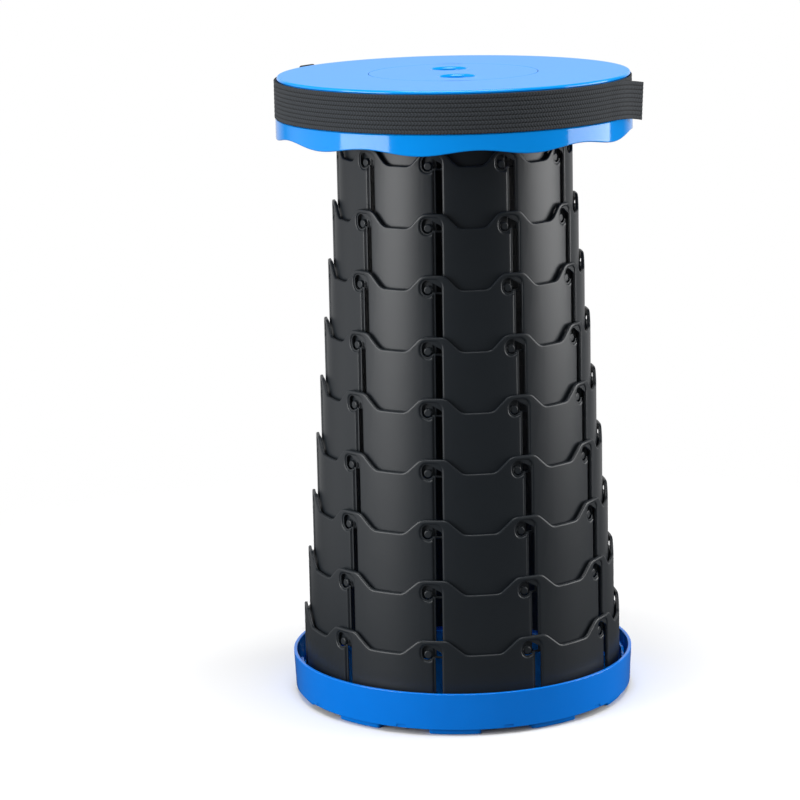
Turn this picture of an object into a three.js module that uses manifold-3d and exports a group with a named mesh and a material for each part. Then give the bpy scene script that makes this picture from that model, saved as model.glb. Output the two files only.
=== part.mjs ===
// Collapsible telescopic stool, shown extended.
// Millimetres, +Z up. The origin is on the floor, at the centre of the base. The front is -Y.
// Ten rings stand in one another, each held by ten pegs in ten seats of the next ring out.

import * as THREE from 'three';
import { mergeVertices } from 'three/addons/utils/BufferGeometryUtils.js';
import Module from 'manifold-3d';

const wasm = await Module();
wasm.setup();

// Counts
const sectors = 10;
const ringCount = 10;
const pegSides = 6;
const crownSteps = 2;
const seatSteps = 4;
const footSteps = 3;
const roundSteps = 2;
const discSteps = 40;
const holeSteps = 16;
const padSteps = 20;
const domeSteps = 2;
const stripStepAngle = THREE.MathUtils.degToRad(6);

// Seat
const skirtRadius = 124;
const skirtWall = 2.2;
const beltGrooveDepth = 1.5;
const seatPlate = 3.2;
const seatEdgeRound = 3;
const beltDrop = 2.5;
const skirtBelowBelt = 11;
const skirtWave = 3.6;

// Centre cap
const capRadius = 58.6;
const capGap = 0.3;
const ledgeWidth = 3.4;
const ledgeThickness = 2.2;
const ledgeRim = 3;
const fingerHoleRadius = 11.5;
const fingerHoleSpacing = 52.8;
const fingerCollarWall = 2;
const fingerCollarDepth = 11;
const clipThickness = 2.4;
const clipWidth = 10;
const clipLip = 1.6;
const clipGap = 0.5;
const clipLipHeight = 2.1;
const clipCount = 4;
const ribThickness = 2;
const ribDepth = 8;

// Rings
const ringWall = 2.2;
const ringGap = 1.65;
const ringHeight = 54.8;
const ringWave = 9;
const restGap = 0.3;

// Pegs, slots and the seats that the pegs lock in
const pegRadius = 3;
const pegRecess = 1.2;
const pegAboveBottom = 3.1;
const slotWidth = 4.6;
const seatRadius = 3.9;
const seatPlay = 0.3;
const seatRise = 2.4;
const seatDrop = 9.6;
const seatToSlot = 7.8;
const postDrop = 1.8;
const slantDrop = 8.4;
const slotFloor = 1.3;
const reliefPlay = 0.4;
const reliefSkin = 0.9;

// Base
const rimClearance = 0.8;
const rimWall = 2.4;
const rimHeight = 25.9;
const collarGap = 1.7;
const ringLift = 3.9;
const floorThickness = 2.1;
const footHeight = 4.3;
const footInset = 3;
const footLength = 14;
const notchWidth = 6.6;
const notchHeight = 2.2;
const padRadius = 30;

// Belt, handle and buckle
const webbingWidth = 25;
const webbing = 1.1;
const layerGap = 0.2;
const beltGap = 0.3;
const tailLength = 24;
const tailLift = 7;
const foldBack = 15;
const footReach = 14;
const footPastLeg = 2;
const handleHeight = 65;
const handleWidth = 72;
const handleTaper = 14;
const footShare = 0.75;
const tongueWidth = 1.6;
const tongueStart = 1;
const hingeStandOff = 1.6;
const buckleHeight = 31;
const buckleBar = 2.6;
const buckleThickness = 2.4;
const buckleSlot = 4.8;
const buckleLift = 4.3;
const buckleRamp = 14;
const turnSteps = 2;
const rivetHead = 4;
const rivetDome = 1.5;
const rivetShank = 1.5;
const rivetPlay = 0.3;
const rivetSpacing = 12;

// One overrun for all cuts
const overrun = 5;

// Places round the stool, as angles from +X, counter-clockwise seen from above
const degrees = THREE.MathUtils.degToRad;
const ringPhase = degrees(-101.4);
const skirtPhase = degrees(-84);
const footPhase = degrees(-94);
const capPhase = degrees(95);
const tailEnd = degrees(-14);
const handleMiddle = degrees(95.5);
const buckleAngle = degrees(144);
const droop = degrees(30);

// Shares of one wave, from the middle of its high part
const highHalfShare = 0.14;
const rampEndShare = 0.32;
const halfShare = 0.5;

// The angle, above the seat's side, where its crown meets the slot's slanted end
const crownEnd = degrees(50);

// Shares of the handle's width and height, from its foot to its crown
const handleShares = [
  [0.78, 0.1],
  [0.86, 0.24],
  [0.95, 0.4],
  [0.98, 0.58],
  [0.93, 0.75],
  [0.75, 0.89],
  [0.42, 0.975],
  [0, 1],
];

// Levels
const pegDrop = seatDrop + seatRadius - seatPlay - pegRadius;
const ringOverlap = pegDrop + pegAboveBottom;
const ringTravel = ringHeight - ringOverlap;
const floorTop = footHeight + floorThickness;
const rimTop = footHeight + rimHeight;
const collarTop = floorTop + ringLift + ringOverlap;
const ringTop = (ring) => collarTop + (ringCount + 1 - ring) * ringTravel;
const plateUnderside = ringTop(1) + restGap;
const seatTop = plateUnderside + seatPlate;
const beltTop = seatTop - beltDrop;
const beltBottom = beltTop - webbingWidth;
const beltMiddle = (beltTop + beltBottom) / 2;
const skirtShort = beltBottom - skirtBelowBelt;
const ledgeTop = plateUnderside - capGap;
const ledgeBottom = ledgeTop - ledgeThickness;

// Radii
const rimRadius = skirtRadius - skirtWall - rimClearance;
const collarRadius = rimRadius - rimWall - collarGap;
const ringStep = ringWall + ringGap;
const ringRadius = (ring) => collarRadius - (ringCount + 1 - ring) * ringStep;
const spigotRadius = ringRadius(0);
const grooveRadius = skirtRadius - beltGrooveDepth;
const innerLayer = grooveRadius + beltGap;
const outerLayer = innerLayer + webbing + layerGap;
const openingRadius = capRadius + capGap;
const ledgeRadius = openingRadius - ledgeWidth;
const footHalfAngle = (handleWidth * footShare) / 2 / skirtRadius;
const handleRight = handleMiddle - footHalfAngle;
const handleLeft = handleMiddle + footHalfAngle;

// Materials
const finish = (color, roughness) => new THREE.MeshStandardMaterial({ color, roughness, metalness: 0 });
const seatBlue = finish(0x46b4ff, 0.3);
const baseBlue = finish(0x0070dc, 0.35);
const ringBlack = finish(0x2a2e33, 0.45);
const webbingGrey = finish(0x3c3e42, 0.9);
const buckleBlack = finish(0x17181a, 0.4);
const rivetSteel = new THREE.MeshStandardMaterial({ color: 0xb8bcc0, roughness: 0.25, metalness: 1 });

// Geometry to solid and back
function solid(geometry) {
  const plain = geometry.clone();
  for (const name of ['normal', 'uv']) {
    plain.deleteAttribute(name);
  }
  const merged = mergeVertices(plain);
  const vertProperties = new Float32Array(merged.attributes.position.array);
  const triVerts = new Uint32Array(merged.index.array);
  return new wasm.Manifold(new wasm.Mesh({ numProp: 3, vertProperties, triVerts }));
}

function geometryOf(body) {
  const mesh = body.getMesh();
  const geometry = new THREE.BufferGeometry();
  geometry.setAttribute('position', new THREE.BufferAttribute(mesh.vertProperties, 3));
  geometry.setIndex(new THREE.BufferAttribute(mesh.triVerts, 1));
  geometry.computeVertexNormals();
  return geometry;
}

const joined = (bodies) => bodies.reduce((whole, body) => whole.add(body));
const cut = (body, cutters) => cutters.reduce((rest, cutter) => rest.subtract(cutter), body);

// The angles of one wave, repeated round the stool. Each station has its angle and its level,
// from 0 on the low part to 1 on the high part.
function waveStations(phase) {
  const wave = [
    [-rampEndShare, 0],
    [-highHalfShare, 1],
    [highHalfShare, 1],
    [rampEndShare, 0],
    [halfShare, 0],
  ];
  const pitch = (2 * Math.PI) / sectors;
  const stations = [];
  for (let sector = 0; sector < sectors; sector += 1) {
    for (const [share, level] of wave) {
      stations.push({ angle: phase + (sector + share) * pitch, level });
    }
  }
  return stations;
}

// A closed profile of [radius, height] points, carried round the axis through all the stations
function turned(stations, profileAt) {
  const positions = [];
  for (const station of stations) {
    for (const [radius, height] of profileAt(station)) {
      positions.push(radius * Math.cos(station.angle), radius * Math.sin(station.angle), height);
    }
  }
  const count = positions.length / 3 / stations.length;
  const index = [];
  stations.forEach((_, station) => {
    const here = station * count;
    const next = ((station + 1) % stations.length) * count;
    for (let point = 0; point < count; point += 1) {
      const after = (point + 1) % count;
      index.push(here + point, next + point, next + after);
      index.push(here + point, next + after, here + after);
    }
  });
  const geometry = new THREE.BufferGeometry();
  geometry.setAttribute('position', new THREE.Float32BufferAttribute(positions, 3));
  geometry.setIndex(index);
  return geometry;
}

// An outline with x along the wall and y up, pushed outwards from one radius to another
function outward(outline, angle, from, to) {
  const shape = new THREE.Shape(outline.map(([x, y]) => new THREE.Vector2(x, y)));
  const geometry = new THREE.ExtrudeGeometry(shape, { depth: to - from, bevelEnabled: false });
  const out = new THREE.Vector3(Math.cos(angle), Math.sin(angle), 0);
  const along = new THREE.Vector3(-Math.sin(angle), Math.cos(angle), 0);
  const place = new THREE.Matrix4().makeBasis(along, new THREE.Vector3(0, 0, 1), out);
  place.setPosition(out.multiplyScalar(from));
  return solid(geometry.applyMatrix4(place));
}

// An outline in the plan, raised from one height to another
function raised(outline, from, to) {
  const shape = new THREE.Shape(outline.map(([x, y]) => new THREE.Vector2(x, y)));
  const geometry = new THREE.ExtrudeGeometry(shape, { depth: to - from, bevelEnabled: false });
  return solid(geometry.translate(0, 0, from));
}

function arc(x, y, radius, start, end, steps) {
  const points = [];
  for (let step = 0; step <= steps; step += 1) {
    const angle = start + ((end - start) * step) / steps;
    points.push([x + radius * Math.cos(angle), y + radius * Math.sin(angle)]);
  }
  return points;
}

const circle = (x, y, radius, sides) => arc(x, y, radius, 0, (2 * Math.PI * (sides - 1)) / sides, sides - 1);
const rectangle = (left, right, low, high) => [[left, low], [right, low], [right, high], [left, high]];

// A round pin that points outwards from the axis
function pin(angle, height, radius, from, to, sides) {
  return outward(circle(0, height, radius, sides), angle, from, to);
}

// The ten angles of something that repeats round the stool, offset along the wall from the
// middle of a wave's high part
function repeated(phase, offset, radius) {
  const angles = [];
  for (let sector = 0; sector < sectors; sector += 1) {
    angles.push(phase + (sector * 2 * Math.PI) / sectors + offset / radius);
  }
  return angles;
}

// Ring walls with their locking cuts. The cut is a straight slot with a slanted end, which opens
// over a short post into an upright seat. Below the seat, a shallow groove inside the wall lets the
// peg slide down.
function lockOutline(top, bottom) {
  const centre = top - seatDrop;
  const slot = seatToSlot / 2;
  const slotLeft = slot - slotWidth / 2;
  const slotRight = slot + slotWidth / 2;
  const postSide = -Math.asin(postDrop / seatRadius);
  return [
    [slotLeft, bottom],
    [slotRight, bottom],
    [slotRight, top - slantDrop],
    ...arc(-slot, centre + seatRise, seatRadius, crownEnd, Math.PI, crownSteps),
    ...arc(-slot, centre, seatRadius, Math.PI, 2 * Math.PI + postSide, seatSteps),
    [slotLeft, centre - postDrop],
  ];
}

function ringWallSolid(radius, bottom, top) {
  const profile = ({ level }) => {
    const edge = top - (1 - level) * ringWave;
    return [[radius, bottom], [radius, edge], [radius - ringWall, edge], [radius - ringWall, bottom]];
  };
  return solid(turned(waveStations(ringPhase), profile));
}

function lockCuts(radius, bottom, top, grooveBottom) {
  const inside = radius - ringWall - overrun;
  const outline = lockOutline(top, bottom + slotFloor);
  const slots = repeated(ringPhase, 0, radius).map((angle) =>
    outward(outline, angle, inside, radius + overrun));
  const half = pegRadius + reliefPlay;
  const groove = rectangle(-half, half, grooveBottom, top - seatDrop);
  const grooves = repeated(ringPhase, -seatToSlot / 2, radius).map((angle) =>
    outward(groove, angle, inside, radius - reliefSkin));
  return [...slots, ...grooves];
}

// Pegs on a wall of this radius, which reach into the seats of the next wall out
function pegs(radius, height) {
  const next = radius + ringStep;
  return repeated(ringPhase, -seatToSlot / 2, next).map((angle) =>
    pin(angle, height, pegRadius, radius - ringWall / 2, next - pegRecess, pegSides));
}

function ringBody(ring) {
  const radius = ringRadius(ring);
  const top = ringTop(ring);
  const bottom = top - ringHeight;
  const wall = joined([ringWallSolid(radius, bottom, top), ...pegs(radius, bottom + pegAboveBottom)]);
  return cut(wall, lockCuts(radius, bottom, top, bottom - overrun));
}

// Seat: a plate with an edge round, a groove for the belt, a wavy skirt, a ledge for the cap, and a
// spigot with pegs that lock in the smallest ring
function seatShell(rivetCuts) {
  const edgeCentre = [grooveRadius - seatEdgeRound, seatTop - seatEdgeRound];
  const corner = arc(...edgeCentre, seatEdgeRound, Math.PI / 2, 0, roundSteps);
  const spigotBottom = ringTop(1) - ringOverlap;
  const profile = ({ level }) => {
    const skirtEdge = skirtShort - (1 - level) * skirtWave;
    return [
      [openingRadius, ledgeTop],
      [openingRadius, seatTop],
      ...corner,
      [grooveRadius, beltBottom],
      [skirtRadius, beltBottom],
      [skirtRadius, skirtEdge],
      [skirtRadius - skirtWall, skirtEdge],
      [skirtRadius - skirtWall, beltBottom],
      [grooveRadius - skirtWall, beltBottom + skirtWall],
      [grooveRadius - skirtWall, plateUnderside],
      [spigotRadius, plateUnderside],
      [spigotRadius, spigotBottom],
      [spigotRadius - ringWall, spigotBottom],
      [spigotRadius - ringWall, plateUnderside],
      [openingRadius + ledgeRim, plateUnderside],
      [openingRadius + ledgeRim, ledgeBottom],
      [ledgeRadius, ledgeBottom],
      [ledgeRadius, ledgeTop],
    ].reverse();
  };
  const ribInner = openingRadius + ledgeRim - ribThickness / 2;
  const ribOuter = spigotRadius - ringWall / 2;
  const ribHalf = ribThickness / 2;
  const ribOutline = rectangle(-ribHalf, ribHalf, plateUnderside - ribDepth, seatTop - seatPlate / 2);
  const ribs = repeated(ringPhase, 0, ribOuter).map((angle) =>
    outward(ribOutline, angle, ribInner, ribOuter));
  const shell = solid(turned(waveStations(skirtPhase), profile));
  const whole = joined([shell, ...ribs, ...pegs(spigotRadius, ringTop(1) - pegDrop)]);
  return cut(whole, rivetCuts);
}

// Cap: a disc on the ledge, with two finger holes, a collar round each, and clips under the ledge
function centreCap() {
  const disc = raised(circle(0, 0, capRadius, discSteps), plateUnderside, seatTop);
  const fingerCentres = [-1, 1].map((side) => [
    (side * fingerHoleSpacing * Math.cos(capPhase)) / 2,
    (side * fingerHoleSpacing * Math.sin(capPhase)) / 2,
  ]);
  const collarBottom = seatTop - fingerCollarDepth;
  const collarOuter = fingerHoleRadius + fingerCollarWall;
  const collars = fingerCentres.map(([x, y]) =>
    raised(circle(x, y, collarOuter, holeSteps), collarBottom, seatTop - seatPlate / 2));
  const holes = fingerCentres.map(([x, y]) =>
    raised(circle(x, y, fingerHoleRadius, holeSteps), collarBottom - overrun, seatTop + overrun));
  const clipFace = Math.sqrt((ledgeRadius - clipGap) ** 2 - (clipWidth / 2) ** 2);
  const clipEnd = ledgeBottom - capGap - clipLipHeight;
  const clips = [];
  for (let clip = 0; clip < clipCount; clip += 1) {
    const angle = ringPhase + (2 * Math.PI * (clip + halfShare)) / clipCount;
    const leg = rectangle(-clipWidth / 2, clipWidth / 2, clipEnd, seatTop - seatPlate / 2);
    const lip = rectangle(-clipWidth / 2, clipWidth / 2, clipEnd, clipEnd + clipLipHeight);
    clips.push(outward(leg, angle, clipFace - clipThickness, clipFace));
    clips.push(outward(lip, angle, clipFace - clipThickness, clipFace + clipLip));
  }
  return cut(joined([disc, ...collars, ...clips]), holes);
}

// Base: a tray with a rim, a collar that holds the largest ring, ten feet and a centre pad
function baseTray() {
  const wallProfile = () => [
    [rimRadius, footHeight],
    [rimRadius, rimTop],
    [rimRadius - rimWall, rimTop],
    [rimRadius - rimWall, footHeight],
  ];
  const rim = solid(turned(waveStations(ringPhase), wallProfile));
  const plateRing = waveStations(ringPhase).map(({ angle }) => {
    const radius = rimRadius - rimWall / 2;
    return [radius * Math.cos(angle), radius * Math.sin(angle)];
  });
  const plate = raised(plateRing, footHeight, floorTop);
  const collar = ringWallSolid(collarRadius, footHeight + floorThickness / 2, collarTop);
  const footHalf = Math.PI / sectors / 2;
  const footOuter = rimRadius - footInset;
  const feet = repeated(footPhase, 0, rimRadius).map((angle) => {
    const outline = [
      ...arc(0, 0, footOuter, angle - footHalf, angle + footHalf, footSteps),
      ...arc(0, 0, footOuter - footLength, angle + footHalf, angle - footHalf, 1),
    ];
    return raised(outline, 0, footHeight + floorThickness / 2);
  });
  const pad = raised(circle(0, 0, padRadius, padSteps), 0, footHeight + floorThickness / 2);
  const notch = rectangle(-notchWidth / 2, notchWidth / 2, footHeight - overrun, footHeight + notchHeight);
  const notches = repeated(footPhase + Math.PI / sectors, 0, rimRadius).map((angle) =>
    outward(notch, angle, rimRadius - rimWall, rimRadius + overrun));
  const whole = joined([rim, plate, collar, ...feet, pad]);
  return cut(whole, [...lockCuts(collarRadius, floorTop, collarTop, floorTop), ...notches]);
}

// A strip of webbing along a path in the plan. Each path point is the strip's middle.
function strip(path, halfWidthAt, middle) {
  const positions = [];
  path.forEach(([x, y], step) => {
    const [beforeX, beforeY] = path[Math.max(step - 1, 0)];
    const [afterX, afterY] = path[Math.min(step + 1, path.length - 1)];
    const length = Math.hypot(afterX - beforeX, afterY - beforeY);
    const sideX = ((beforeY - afterY) / length) * (webbing / 2);
    const sideY = ((afterX - beforeX) / length) * (webbing / 2);
    const half = halfWidthAt(step);
    for (const [side, up] of [[1, -1], [1, 1], [-1, 1], [-1, -1]]) {
      positions.push(x + side * sideX, y + side * sideY, middle + up * half);
    }
  });
  const index = [];
  for (let step = 0; step < path.length - 1; step += 1) {
    for (let corner = 0; corner < 4; corner += 1) {
      const here = step * 4 + corner;
      const side = step * 4 + ((corner + 1) % 4);
      index.push(here, side, side + 4, here, side + 4, here + 4);
    }
  }
  const last = (path.length - 1) * 4;
  index.push(0, 2, 1, 0, 3, 2, last, last + 1, last + 2, last, last + 2, last + 3);
  const geometry = new THREE.BufferGeometry();
  geometry.setAttribute('position', new THREE.Float32BufferAttribute(positions, 3));
  geometry.setIndex(index);
  return geometry;
}

const polar = (radius, angle) => [radius * Math.cos(angle), radius * Math.sin(angle)];

function around(radius, start, end) {
  const steps = Math.max(1, Math.round(Math.abs(end - start) / stripStepAngle));
  return arc(0, 0, radius, start, end, steps);
}

// A point near the buckle: its distance along the rim from the buckle's middle, and its radius
function atBuckle(along, radius) {
  const [x, y] = polar(radius, buckleAngle);
  return [x - along * Math.sin(buckleAngle), y + along * Math.cos(buckleAngle)];
}

const innerMiddle = innerLayer + webbing / 2;
const outerMiddle = outerLayer + webbing / 2;
const buckleRadius = outerLayer + buckleLift;
const underBuckle = buckleRadius - buckleThickness / 2 - beltGap - webbing / 2;
const overBuckle = buckleRadius + buckleThickness / 2 + beltGap + webbing / 2;
const barPitch = buckleBar / 2 + buckleSlot + buckleBar / 2;
const turnRadius = beltGap + webbing / 2;
const reachHalf = barPitch + buckleBar / 2;
const reachAngle = (reachHalf + buckleRamp) / skirtRadius;

// The webbing's way round the side of a buckle bar, from under it to over it
function roundBar(along, side) {
  const edge = along + side * (buckleBar / 2);
  const under = arc(0, 0, turnRadius, -Math.PI / 2, 0, turnSteps);
  const over = arc(0, 0, turnRadius, 0, Math.PI / 2, turnSteps);
  const half = buckleThickness / 2;
  return [
    ...under.map(([x, y]) => atBuckle(edge + side * x, buckleRadius - half + y)),
    ...over.map(([x, y]) => atBuckle(edge + side * x, buckleRadius + half + y)),
  ];
}

// Belt: an inner layer from the rivets round to the buckle, and an outer layer back to the free tail
function beltPath() {
  const buckleTurn = buckleAngle - 2 * Math.PI;
  const [tailX, tailY] = polar(outerMiddle, tailEnd);
  const tail = [];
  for (const share of [halfShare, 1]) {
    const along = share * tailLength;
    const lift = share * share * tailLift - (along * along) / (2 * skirtRadius);
    tail.push([
      tailX - along * Math.sin(tailEnd) + Math.max(lift, 0) * Math.cos(tailEnd),
      tailY + along * Math.cos(tailEnd) + Math.max(lift, 0) * Math.sin(tailEnd),
    ]);
  }
  return [
    ...around(innerMiddle, handleRight, buckleTurn + reachAngle),
    atBuckle(reachHalf, underBuckle),
    ...roundBar(0, -1),
    atBuckle(reachHalf, overBuckle),
    ...around(outerMiddle, buckleTurn + reachAngle, tailEnd),
    ...tail,
  ];
}

// Handle strap: from its left foot along the rim, round the near bar of the buckle and back
function handleStrapPath() {
  const clear = buckleAngle - reachAngle;
  return [
    ...around(innerMiddle, handleLeft, clear),
    atBuckle(-reachHalf, underBuckle),
    ...roundBar(-barPitch, 1),
    atBuckle(-reachHalf, overBuckle),
    ...around(outerMiddle, clear, clear - foldBack / skirtRadius),
  ];
}

const hingeRadius = (outerLayer + webbing) * Math.cos(footHalfAngle) + hingeStandOff;
const footStart = handleRight + footPastLeg / skirtRadius;
const footEnd = footStart - footReach / skirtRadius;
const footPath = () => around(outerMiddle, footEnd, footStart);

// Handle loop: drawn flat with its hinge line on X, then drooped and carried to the back of the seat
function handleLoop() {
  const footX = (outerLayer + webbing) * Math.sin(footHalfAngle);
  const halfWidth = (handleWidth - webbing) / 2;
  const crown = handleHeight - webbing / 2;
  const side = [[footX, -tongueStart], ...handleShares.map(([x, y]) => [x * halfWidth, y * crown])];
  const all = [...side, ...side.slice(0, -1).reverse().map(([x, y]) => [-x, y])];
  const curve = new THREE.SplineCurve(all.map(([x, y]) => new THREE.Vector2(x, y)));
  const steps = all.length * 2 - 2;
  const path = curve.getPoints(steps).map(({ x, y }) => [x, y]);
  const halfWidthAt = (step) => {
    const share = THREE.MathUtils.clamp((path[step][1] + tongueStart) / handleTaper, 0, 1);
    return THREE.MathUtils.lerp(tongueWidth, webbingWidth, share) / 2;
  };
  const geometry = strip(path, halfWidthAt, 0);
  geometry.rotateX(-droop);
  geometry.rotateZ(handleMiddle - Math.PI / 2);
  const [x, y] = polar(hingeRadius, handleMiddle);
  return geometry.translate(x, y, beltMiddle);
}

// Buckle: a flat frame with a middle bar, which stands off the rim in the webbing
function buckle() {
  const half = barPitch + buckleBar / 2;
  const low = beltMiddle - buckleHeight / 2;
  const high = beltMiddle + buckleHeight / 2;
  const from = buckleRadius - buckleThickness / 2;
  const to = buckleRadius + buckleThickness / 2;
  const frame = outward(rectangle(-half, half, low, high), buckleAngle, from, to);
  const slots = [-1, 1].map((side) => {
    const near = side * (buckleBar / 2);
    const far = side * (buckleBar / 2 + buckleSlot);
    const outline = rectangle(Math.min(near, far), Math.max(near, far), low + buckleBar, high - buckleBar);
    return outward(outline, buckleAngle, from - overrun, to + overrun);
  });
  return cut(frame, slots);
}

// Rivets: a domed head outside the webbing and a shank through it. Two hold the belt and the
// handle's right foot to the seat, and two close the fold in the handle strap.
const foldAngle = buckleAngle - reachAngle - foldBack / 2 / skirtRadius;
const footRivetAngle = footEnd + rivetHead / skirtRadius;
const rivetPlaces = [footRivetAngle, foldAngle].flatMap((angle) =>
  [-1, 1].map((side) => ({ angle, height: beltMiddle + (side * rivetSpacing) / 2 })));

function rivet({ angle, height }, end) {
  const face = outerLayer + webbing + rivetPlay;
  const dome = arc(0, 0, 1, 0, Math.PI / 2, domeSteps);
  const profile = [
    [0, end],
    [rivetShank, end],
    [rivetShank, face],
    ...dome.map(([x, y]) => [rivetHead * x, face + rivetDome * y]),
  ];
  const geometry = new THREE.LatheGeometry(profile.map(([x, y]) => new THREE.Vector2(x, y)), pegSides);
  geometry.rotateZ(-Math.PI / 2);
  geometry.rotateZ(angle);
  return solid(geometry.translate(0, 0, height));
}

const holeStart = grooveRadius - skirtWall - overrun;
const rivetHoles = rivetPlaces.map(({ angle, height }) =>
  pin(angle, height, rivetShank + rivetPlay, holeStart, outerLayer + overrun, pegSides));
const seatRivetHoles = rivetHoles.slice(0, 2);
const rivetEnds = rivetPlaces.map(({ angle }) =>
  (angle === footRivetAngle ? grooveRadius - skirtWall : innerLayer));

// Assembly
const stool = new THREE.Group();

function place(name, geometry, material) {
  const mesh = new THREE.Mesh(geometry, material);
  mesh.name = name;
  stool.add(mesh);
}

place('base_tray', geometryOf(baseTray()), baseBlue);
for (let ring = ringCount; ring >= 1; ring -= 1) {
  place(`ring_${String(ring).padStart(2, '0')}`, geometryOf(ringBody(ring)), ringBlack);
}
place('seat_shell', geometryOf(seatShell(seatRivetHoles)), seatBlue);
place('centre_cap', geometryOf(centreCap()), seatBlue);

const fullWidth = () => webbingWidth / 2;
const webbingSolid = (path, holes) => geometryOf(cut(solid(strip(path, fullWidth, beltMiddle)), holes));
place('belt_webbing', webbingSolid(beltPath(), seatRivetHoles), webbingGrey);
place('handle_strap', webbingSolid(handleStrapPath(), rivetHoles.slice(2)), webbingGrey);
place('handle_foot', webbingSolid(footPath(), seatRivetHoles), webbingGrey);
place('handle_loop', handleLoop(), webbingGrey);
place('strap_buckle', geometryOf(buckle()), buckleBlack);
rivetPlaces.forEach((spot, number) => {
  place(`rivet_${number + 1}`, geometryOf(rivet(spot, rivetEnds[number])), rivetSteel);
});

export default stool;
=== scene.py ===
# %% [markdown]
# # A collapsible telescopic stool
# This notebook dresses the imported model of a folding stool. Ten plastic rings slide into one
# another between a blue seat and a blue base, and a webbing belt runs round the seat. The packed
# model is the frame: it gives every size and every joint, and the pieces made here stay on it.

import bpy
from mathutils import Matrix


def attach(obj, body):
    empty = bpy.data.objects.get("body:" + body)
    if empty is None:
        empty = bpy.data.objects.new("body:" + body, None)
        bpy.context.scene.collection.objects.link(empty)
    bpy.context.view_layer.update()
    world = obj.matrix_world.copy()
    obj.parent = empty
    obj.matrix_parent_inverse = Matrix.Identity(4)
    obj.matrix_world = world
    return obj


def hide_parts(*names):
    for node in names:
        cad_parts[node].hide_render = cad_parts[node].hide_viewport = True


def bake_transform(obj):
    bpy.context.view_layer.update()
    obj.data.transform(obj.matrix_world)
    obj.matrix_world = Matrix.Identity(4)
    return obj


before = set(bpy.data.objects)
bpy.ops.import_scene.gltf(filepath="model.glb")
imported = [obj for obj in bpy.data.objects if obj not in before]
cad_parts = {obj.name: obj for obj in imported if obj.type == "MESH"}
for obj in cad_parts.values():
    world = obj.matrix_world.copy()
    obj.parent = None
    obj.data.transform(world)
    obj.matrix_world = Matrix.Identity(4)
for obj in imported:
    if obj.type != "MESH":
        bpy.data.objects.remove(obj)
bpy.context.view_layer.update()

# %% [markdown]
# The rest of the notebook needs Blender's own modules. The sizes of the stool are in millimetres
# and its angles in degrees, and each finished mesh is brought to metres as its last step.

# %% Modules and units
import math

import bmesh
import bpy
from mathutils import Matrix, Vector

MILLIMETRE = 0.001
radians = math.radians

# %% [markdown]
# ## Camera
# The picture was taken from a little above the seat, from two metres away and through a long lens.
# The place and turn of the camera come from fitting the stool's own edges to it.

# %% Camera
LENS = 132.42
CAMERA_PLACE = Vector((-37.59, -2041.29, 646.85))


def look(yaw, pitch, roll):
    forward = Vector((math.sin(yaw) * math.cos(pitch), math.cos(yaw) * math.cos(pitch), -math.sin(pitch)))
    right = forward.cross(Vector((0, 0, 1))).normalized()
    up = right.cross(forward)
    turn = Matrix.Rotation(-roll, 3, forward)
    return Matrix((turn @ right, turn @ up, -forward)).transposed()


camera_data = bpy.data.cameras.new("camera")
camera_data.lens = LENS
camera_data.clip_end = 100
camera = bpy.data.objects.new("camera", camera_data)
facing_stool = look(yaw=-0.0019, pitch=0.2106, roll=-0.0205)
camera.matrix_world = Matrix.Translation(CAMERA_PLACE * MILLIMETRE) @ facing_stool.to_4x4()
bpy.context.scene.collection.objects.link(camera)
bpy.context.scene.camera = camera
print("camera at", [round(value, 3) for value in camera.location])

# %% [markdown]
# ## Nodes
# A material in Blender is a small graph. One function adds a node, sets it and links it, and one
# more turns a colour written as hex into the linear values that the shader wants.

# %% Node and colour helpers
def add(tree, kind, inputs=None, **settings):
    made = tree.nodes.new(kind)
    for name, value in settings.items():
        setattr(made, name, value)
    for name, value in (inputs or {}).items():
        if isinstance(value, bpy.types.NodeSocket):
            tree.links.new(value, made.inputs[name])
        else:
            made.inputs[name].default_value = value
    return made


def colour(code):
    channels = [int(code[start:start + 2], 16) / 255 for start in (1, 3, 5)]
    linear = [c / 12.92 if c <= 0.04045 else ((c + 0.055) / 1.055) ** 2.4 for c in channels]
    return (*linear, 1)


def new_material(name):
    material = bpy.data.materials.new(name)
    material.use_nodes = True
    tree = material.node_tree
    tree.nodes.clear()
    return material, tree


print("mid grey is", [round(value, 3) for value in colour("#808080")])

# %% [markdown]
# ## Studio
# The stool stands on a white floor between two softboxes, one in front on the left and one on the
# right. They make the upright pale bands on the skirt. A third softbox hangs overhead and draws the
# bright line on the rim of the seat. The camera sees a white room. What the glossy plastic sees is
# a dark room with a pale wall behind the stool and another on its left. Even grey light falls on
# what is matt. The studio is laid out in metres.

# %% World
DARK_ROOM = 0.05
PALE_WALL = 0.7
EVEN_LIGHT = 0.55
BEHIND = (0.72, 0.95)
ON_LEFT = (-0.55, -0.9)


def wall_glow(direction, start, end, dark):
    return add(tree, "ShaderNodeMapRange", {"Value": direction, "From Min": start, "From Max": end,
                                            "To Min": dark, "To Max": PALE_WALL},
               interpolation_type="SMOOTHSTEP")


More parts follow.
